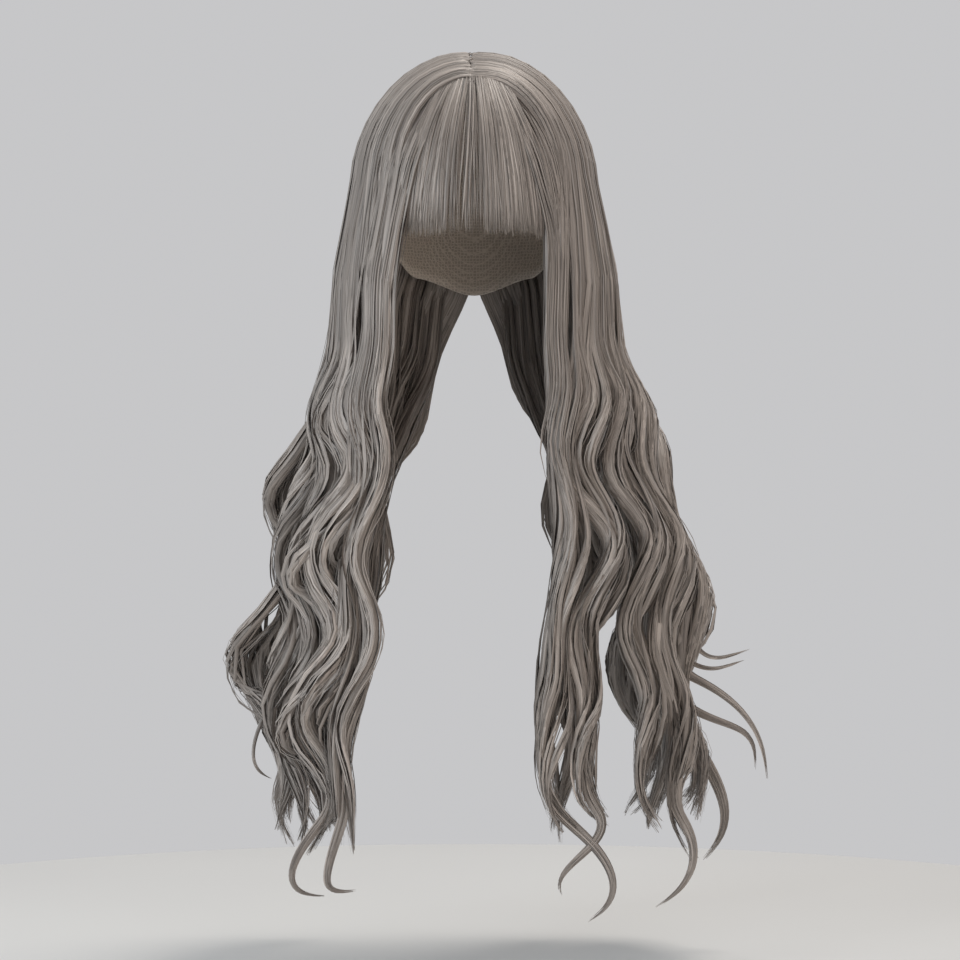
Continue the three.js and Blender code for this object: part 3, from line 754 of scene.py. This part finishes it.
def strands_of_curl(curl, lock, side, count, half):
    """Strands of a loose curl: inside its lock for a stretch, and then along a cubic Bezier curve that a
    sine bends to and fro in depth, smoothed where the two meet. Each strand, of a given half width, has
    its own place in an oval that opens from the root and closes to the tip."""
    points = lock_course(lock, side, np.linspace(0, 1, 600)[None])["points"][0]
    leave = np.argmax(-points[:, 2] >= curl["start_drop"])
    enter = np.argmax(-points[:, 2] >= curl["start_drop"] - CURL_LEAD)
    lead = points[np.linspace(enter, leave, CURL_LEAD_ROWS, endpoint=False).astype(int)]
    start = points[leave]
    stops = ("first_pull", "second_pull", "tip")
    corners = np.array([start, *([curl[stop + "_x"], start[1], -curl[stop + "_drop"]] for stop in stops)])
    t = (np.linspace(0, 1, CURL_ROWS) * chance.uniform(0.74, 1.0, (count, 1)))[..., None]
    weights = [(1 - t) ** 3, 3 * t * (1 - t) ** 2, 3 * t**2 * (1 - t), t**3]
    curve = sum(weight * corner for weight, corner in zip(weights, corners))
    middle = np.concatenate([np.broadcast_to(lead, (count, *lead.shape)), curve], axis=1)
    way = np.linspace(0, 1, middle.shape[1])
    middle[..., 1] -= CURL_DEPTH * ease(way, CURL_OPEN, 1.0) * np.sin(1.5 * np.pi * (way - CURL_OPEN))
    middle[..., 1] += CURL_ROOT_DEPTH * (1 - ease(way, 0, CURL_OPEN))
    smooth_rows(middle, 3)
    facing = np.broadcast_to([0.0, -1.0, 0.0], middle.shape)
    across = unit(np.cross(facing, np.gradient(middle, axis=1)))
    size = (curl["half_width"] - half) * blend(1.0, CURL_TIP_SHARE, way**1.2)
    size = size * blend(CURL_ROOT_SHARE, 1.0, ease(way, 0, CURL_OPEN))
    turn = chance.uniform(0, 2 * np.pi, (count, 1))
    place = np.sqrt(chance.random((count, 1)))
    paths = middle + across * (size * place * np.cos(turn))[..., None]
    paths = paths + facing * (CURL_FLATNESS * size * place * np.sin(turn))[..., None]
    return paths, facing, MIDDLE_TONE + chance.normal(0, 0.13, count)


def hair_of_curl(curl, lock, side):
    """The tresses and fibres of a loose curl, more of them in a thick one."""
    count = round(STRANDS_PER_CURL_MM * curl["half_width"])
    half = min(CURL_TRESS_HALF_WIDTH, 0.35 * curl["half_width"])
    tresses = tress_rings(strands_of_curl(curl, lock, side, count, half), half, CURL_ROOT_SHARE)
    return tresses, fibre_rings(strands_of_curl(curl, lock, side, count, half), CURL_ROOT_SHARE)


def strands_of_bangs(count, fine):
    """Strands of the bangs: from a place on the band at the front end of the parting they spread in
    azimuth as they fall evenly in polar angle to the cut, and stand further off the form with the square
    of the way."""
    drawn = count * 3  # more than are kept
    cut = chance.uniform(-BANG_CUT_AZIMUTH, BANG_CUT_AZIMUTH, drawn)
    in_slit = (cut > BANG_SLIT[0]) & (cut < BANG_SLIT[1])
    cut = cut[~in_slit | (chance.random(drawn) < (0.4 if fine else 0.12))][:count]
    root = cut * BANG_ROOT_AZIMUTH / BANG_CUT_AZIMUTH + chance.normal(0, 1.2, count)
    share = np.linspace(0, 1, BANG_ROWS)[None]
    drop = BANG_DROP + chance.normal(0, 1.8, count) + BANG_CORNER_DROP * ease(cut, *BANG_CORNER)
    root_polar = BANG_ROOT_POLAR + chance.uniform(-3, 3, count)
    polar = blend(root_polar[:, None], polar_at_drop(drop)[:, None], share)
    bow = chance.normal(0, 0.9, (count, 1)) * np.sin(np.pi * share)
    azimuth = blend(root[:, None], cut[:, None], share) + bow
    thickness = np.interp(share, [0, 0.5, 1], BANG_HALF_THICKNESS)
    layer = chance.uniform(0.45, 1.0, (count, 1))
    lift = CAP_WALL + HAIR_CLEARANCE + thickness * (2 * layer + 0.1) + BANG_LIFT_AT_CUT * share**2
    towards = direction(azimuth, polar)
    # Near the root the bangs are darker: painted shade under the band that they come from, on top of a random
    # tone
    tone = MIDDLE_TONE + chance.normal(0, 0.15, (count, 1)) - 0.3 * (1 - ease(share, 0, 0.25))
    return on_form(towards, lift), towards, tone


def cap_rings():
    """The cap: rings of the form's surface around the crown, down the inside to the rim and up the outside
    again. The rim's drop is eased from one azimuth of its table to the next."""
    azimuth = np.linspace(-180, 180, CAP_COLUMNS, endpoint=False)
    turn = np.abs(azimuth)
    rim = np.zeros_like(turn)
    stops = sorted(CAP_RIM)
    for low, high in zip(stops, stops[1:]):
        between = (turn >= low) & (turn <= high)
        rim[between] = blend(CAP_RIM[low], CAP_RIM[high], ease(turn[between], low, high))
    share = np.linspace(CAP_POLE, 1, CAP_ROWS)[:, None]
    towards = direction(azimuth[None], share * polar_at_drop(rim)[None])
    inside = on_form(towards, np.zeros((CAP_ROWS, CAP_COLUMNS)))
    outside = on_form(towards, np.full((CAP_ROWS, CAP_COLUMNS), CAP_WALL))[::-1]
    return np.concatenate([inside, outside])[None]


def linear(hex_colour):
    """An sRGB hex colour as linear red, green, blue and alpha."""
    srgb = np.array([int(hex_colour[k : k + 2], 16) for k in (0, 2, 4)]) / 255
    values = np.where(srgb <= 0.04045, srgb / 12.92, ((srgb + 0.055) / 1.055) ** 2.4)
    return (*values.tolist(), 1.0)


def add_node(tree, kind, inputs, **settings):
    """A node with its settings. An input is a value, or another node's output that it is linked to."""
    made = tree.nodes.new(kind)
    for key, value in settings.items():
        setattr(made, key, value)
    for name, value in inputs.items():
        if isinstance(value, bpy.types.NodeSocket):
            tree.links.new(value, made.inputs[name])
        else:
            made.inputs[name].default_value = value
    return made


def new_material(name):
    """An empty node material."""
    material = bpy.data.materials.new(name)
    material.use_nodes = True
    material.node_tree.nodes.clear()
    return material, material.node_tree


def crimped_fibre():
    """Modacrylic fibre, spun, dyed ash brown and set in waves by heat: a satin surface, tresses that
    differ in tone, and fine streaks along them."""
    material, tree = new_material("modacrylic_fibre_heat_set")
    tone = add_node(tree, "ShaderNodeAttribute", {}, attribute_name="tone")
    parts = add_node(tree, "ShaderNodeSeparateColor", {"Color": tone.outputs["Color"]})
    along = add_node(tree, "ShaderNodeUVMap", {}, uv_map="along_fibre")
    # Fibres are 0.08 mm wide. The widest streaks are drawn 1.2 mm wide and 70 mm long, so that they show.
    streaks = (1 / (1.2 * MM), 1 / (70 * MM), 1)
    stretched = add_node(tree, "ShaderNodeMapping", {"Vector": along.outputs["UV"], "Scale": streaks})
    streak = add_node(
        tree,
        "ShaderNodeTexNoise",
        {"Vector": stretched.outputs["Vector"], "Scale": 1.0, "Detail": 3.0, "Roughness": 0.7},
    )
    # The tone attribute picks the colour from dark to pale: it differs at random between strands, and holds
    # painted shade where cores, sunk clumps, clump edges, deep strands and bang roots are darker
    dye_and_painted_shade = add_node(
        tree,
        "ShaderNodeMix",
        {"Factor": parts.outputs["Red"], "A": linear("524a44"), "B": linear("aaa098")},
        data_type="RGBA",
    )
    depth = add_node(
        tree,
        "ShaderNodeMapRange",
        {"Value": streak.outputs["Fac"], "From Min": 0.36, "From Max": 0.64, "To Min": 0.45, "To Max": 1.45},
    )
    colour = add_node(
        tree,
        "ShaderNodeVectorMath",
        {0: dye_and_painted_shade.outputs["Result"], "Scale": depth.outputs["Result"]},
        operation="SCALE",
    )
    relief = add_node(
        tree,
        "ShaderNodeBump",
        {"Height": streak.outputs["Fac"], "Strength": 0.5, "Distance": 0.25 * MM},
    )
    shader = add_node(
        tree,
        "ShaderNodeBsdfPrincipled",
        {
            "Base Color": colour.outputs["Vector"],
            "Roughness": 0.47,
            "IOR": 1.5,
            "Sheen Weight": 0.08,
            "Normal": relief.outputs["Normal"],
        },
    )
    add_node(tree, "ShaderNodeOutputMaterial", {"Surface": shader.outputs["BSDF"]})
    return material


def stretch_net():
    """Nylon stretch net, knitted and dyed pale taupe: a matt cloth of small meshes with a raised thread
    around each."""
    material, tree = new_material("nylon_stretch_net_knitted")
    place = add_node(tree, "ShaderNodeTexCoord", {})
    # Real meshes are about 1 mm. They are drawn 2.4 mm wide, so that they show.
    meshes = add_node(
        tree,
        "ShaderNodeTexVoronoi",
        {"Vector": place.outputs["Object"], "Scale": 1 / (2.4 * MM), "Randomness": 0.35},
        feature="DISTANCE_TO_EDGE",
    )
    thread = add_node(
        tree,
        "ShaderNodeMapRange",
        {
            "Value": meshes.outputs["Distance"],
            "From Min": 0.05,
            "From Max": 0.2,
            "To Min": 1.0,
            "To Max": 0.0,
        },
    )
    colour = add_node(
        tree,
        "ShaderNodeMix",
        {"Factor": thread.outputs["Result"], "A": linear("b3a89c"), "B": linear("d3c8bc")},
        data_type="RGBA",
    )
    relief = add_node(
        tree,
        "ShaderNodeBump",
        {"Height": thread.outputs["Result"], "Strength": 0.6, "Distance": 0.4 * MM},
    )
    shader = add_node(
        tree,
        "ShaderNodeBsdfPrincipled",
        {
            "Base Color": colour.outputs["Result"],
            "Roughness": 0.85,
            "IOR": 1.53,
            "Normal": relief.outputs["Normal"],
        },
    )
    add_node(tree, "ShaderNodeOutputMaterial", {"Surface": shader.outputs["BSDF"]})
    return material


def painted_board():
    """Matt painted board, rolled: an even pale grey with a very slight mottle."""
    material, tree = new_material("matt_painted_board_rolled")
    place = add_node(tree, "ShaderNodeTexCoord", {})
    mottle = add_node(
        tree,
        "ShaderNodeTexNoise",
        {"Vector": place.outputs["Object"], "Scale": 3.0, "Detail": 1.0},
    )
    colour = add_node(
        tree,
        "ShaderNodeMix",
        {"Factor": mottle.outputs["Fac"], "A": linear("d0d0cf"), "B": linear("d6d6d4")},
        data_type="RGBA",
    )
    shader = add_node(
        tree,
        "ShaderNodeBsdfPrincipled",
        {"Base Color": colour.outputs["Result"], "Roughness": 0.9},
    )
    add_node(tree, "ShaderNodeOutputMaterial", {"Surface": shader.outputs["BSDF"]})
    return material


# The hair and the cap
FIBRE = crimped_fibre()


def place_piece(piece, node):
    """A piece that stands for a node and is fixed to the object."""
    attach(piece, "root")
    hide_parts(node)


place_piece(mesh_piece("knitted_cap", [(cap_rings(), [MIDDLE_TONE])], stretch_net()), "wig_cap")
for section, rows in LOCKS.items():
    part, hand = section.split("_lengths_")
    side = -1 if hand == "left" else 1
    locks = [dict(zip(LOCK_COLUMNS, row)) for row in rows]
    outer_share = OUTER_SHARE_AT_BACK if part == "back" else OUTER_SHARE
    tresses, fibres = [], []
    for lock in locks:
        rolled = part == "front" and lock is locks[0]
        hindmost = part == "back" and lock is locks[-1]
        clumps = clumps_of_lock(rolled or hindmost)
        lock_tresses = strands_of_lock(lock, side, clumps, outer_share, rolled, TRESSES_PER_LOCK, False)
        lock_fibres = strands_of_lock(lock, side, clumps, outer_share, rolled, FIBRES_PER_LOCK, True)
        tresses.append(core_of_lock(lock, side, rolled))
        tresses.append(cores_of_clumps(lock, side, clumps))
        tresses.append(tress_rings(lock_tresses, TRESS_HALF_WIDTH))
        fibres.append(fibre_rings(lock_fibres))
    for row in CURLS.get(section, []):
        curl = dict(zip(CURL_COLUMNS, row))
        curl_tresses, curl_fibres = hair_of_curl(curl, locks[curl["lock"]], side)
        tresses.append(curl_tresses)
        fibres.append(curl_fibres)
    if part in LAYERS:
        layer = dict(zip(LAYER_COLUMNS, LAYERS[part]))
        joined = locks[layer["lock"]]
        layer_tresses = strands_of_layer(layer, joined, side, layer["tresses"])
        tresses.append(tress_rings(layer_tresses, layer["half_width"]))
        fibres.append(fibre_rings(strands_of_layer(layer, joined, side, layer["fibres"])))
    place_piece(mesh_piece(section + "_tresses", tresses, FIBRE), section)
    place_piece(mesh_piece(section + "_fibres", fibres, FIBRE), section)
bang_tresses = [tress_rings(strands_of_bangs(BANG_TRESSES, False), BANG_TRESS_HALF_WIDTH)]
bang_fibres = [fibre_rings(strands_of_bangs(BANG_FIBRES, True))]
place_piece(mesh_piece("bangs_tresses", bang_tresses, FIBRE), "bangs")
place_piece(mesh_piece("bangs_fibres", bang_fibres, FIBRE), "bangs")

# The studio, in metres: a round pale floor, air that is darker above and below, soft lights, and a camera
# at about half the wig's height
FLOOR_Z = -0.66
FLOOR_RADIUS = 0.72
FLOOR_EDGE = 0.03
FLOOR_EDGE_ROWS = 10
FLOOR_FIRST_RADIUS = 0.001
FLOOR_COLUMNS = 160


def round_floor():
    """A disc with a rounded edge: a profile of a level line and a quarter circle, turned about the
    upright."""
    bend = np.linspace(0, np.pi / 2, FLOOR_EDGE_ROWS)
    rounded = FLOOR_RADIUS - FLOOR_EDGE + FLOOR_EDGE * np.sin(bend)
    radius = np.concatenate([[FLOOR_FIRST_RADIUS], rounded])
    height = np.concatenate([[FLOOR_Z], FLOOR_Z - FLOOR_EDGE * (1 - np.cos(bend))])
    turn = 2 * np.pi * np.arange(FLOOR_COLUMNS) / FLOOR_COLUMNS
    reach = radius[::-1, None]
    grids = np.broadcast_arrays(reach * np.cos(turn), reach * np.sin(turn), height[::-1, None])
    rings = np.stack(grids, axis=-1)
    mesh_piece("studio_floor", [(rings[None] / MM, [MIDDLE_TONE])], painted_board())


def soft_light(name, place, aim, size, power, hex_colour):
    """A square area light at a place, turned to face another: tilted from straight down, then turned about
    the upright."""
    light = bpy.data.lights.new(name, "AREA")
    light.size = size
    light.energy = power
    light.color = linear(hex_colour)[:3]
    lamp = bpy.data.objects.new(name, light)
    offset = np.subtract(aim, place)
    lamp.location = place
    tilt = np.arctan2(np.hypot(offset[0], offset[1]), -offset[2])
    lamp.rotation_euler = (tilt, 0, np.arctan2(-offset[0], offset[1]))
    bpy.context.collection.objects.link(lamp)


round_floor()
MIDDLE = (0.0, 0.0, -0.28)
soft_light("key_left", (-1.5, -1.4, 0.1), MIDDLE, 0.9, 23, "e8f3fb")
soft_light("fill_right", (0.9, -2.0, -0.5), MIDDLE, 1.4, 12.5, "fff0e2")
soft_light("crown", (0.4, 0.3, 1.35), (0.0, 0.0, -0.05), 0.6, 17, "fff8f0")

# The air is even near the level of the eye, a little darker overhead and much darker below
world = bpy.data.worlds.new("studio_air")
world.use_nodes = True
air = world.node_tree
way = add_node(air, "ShaderNodeTexCoord", {})
up = add_node(air, "ShaderNodeSeparateXYZ", {"Vector": way.outputs["Generated"]})
above = add_node(
    air,
    "ShaderNodeMapRange",
    {"Value": up.outputs["Z"], "From Min": 0.2, "From Max": 0.9, "To Min": 0.58, "To Max": 0.5},
)
below = add_node(
    air,
    "ShaderNodeMapRange",
    {"Value": up.outputs["Z"], "From Min": -0.9, "From Max": -0.2, "To Min": 0.45, "To Max": 1.0},
)
glow = add_node(
    air,
    "ShaderNodeMath",
    {0: above.outputs["Result"], 1: below.outputs["Result"]},
    operation="MULTIPLY",
)
air.links.new(glow.outputs["Value"], air.nodes["Background"].inputs["Strength"])
air.nodes["Background"].inputs["Color"].default_value = linear("fdfdff")
bpy.context.scene.world = world
bpy.context.scene.view_settings.view_transform = "Standard"

# The photograph's frame is 960 pixels of 0.74 mm at the middle of the wig, seen from the place in front
FRAME_WIDTH = 710.4
SENSOR = 36.0
lens = bpy.data.cameras.new("camera")
lens.sensor_width = SENSOR
lens.lens = SENSOR * EYE_DISTANCE / FRAME_WIDTH
camera = bpy.data.objects.new("camera", lens)
camera.location = (EYE_X * MM, -EYE_DISTANCE * MM, -EYE_DROP * MM)
camera.rotation_euler = (np.pi / 2, 0, 0)
bpy.context.collection.objects.link(camera)
bpy.context.scene.camera = camera
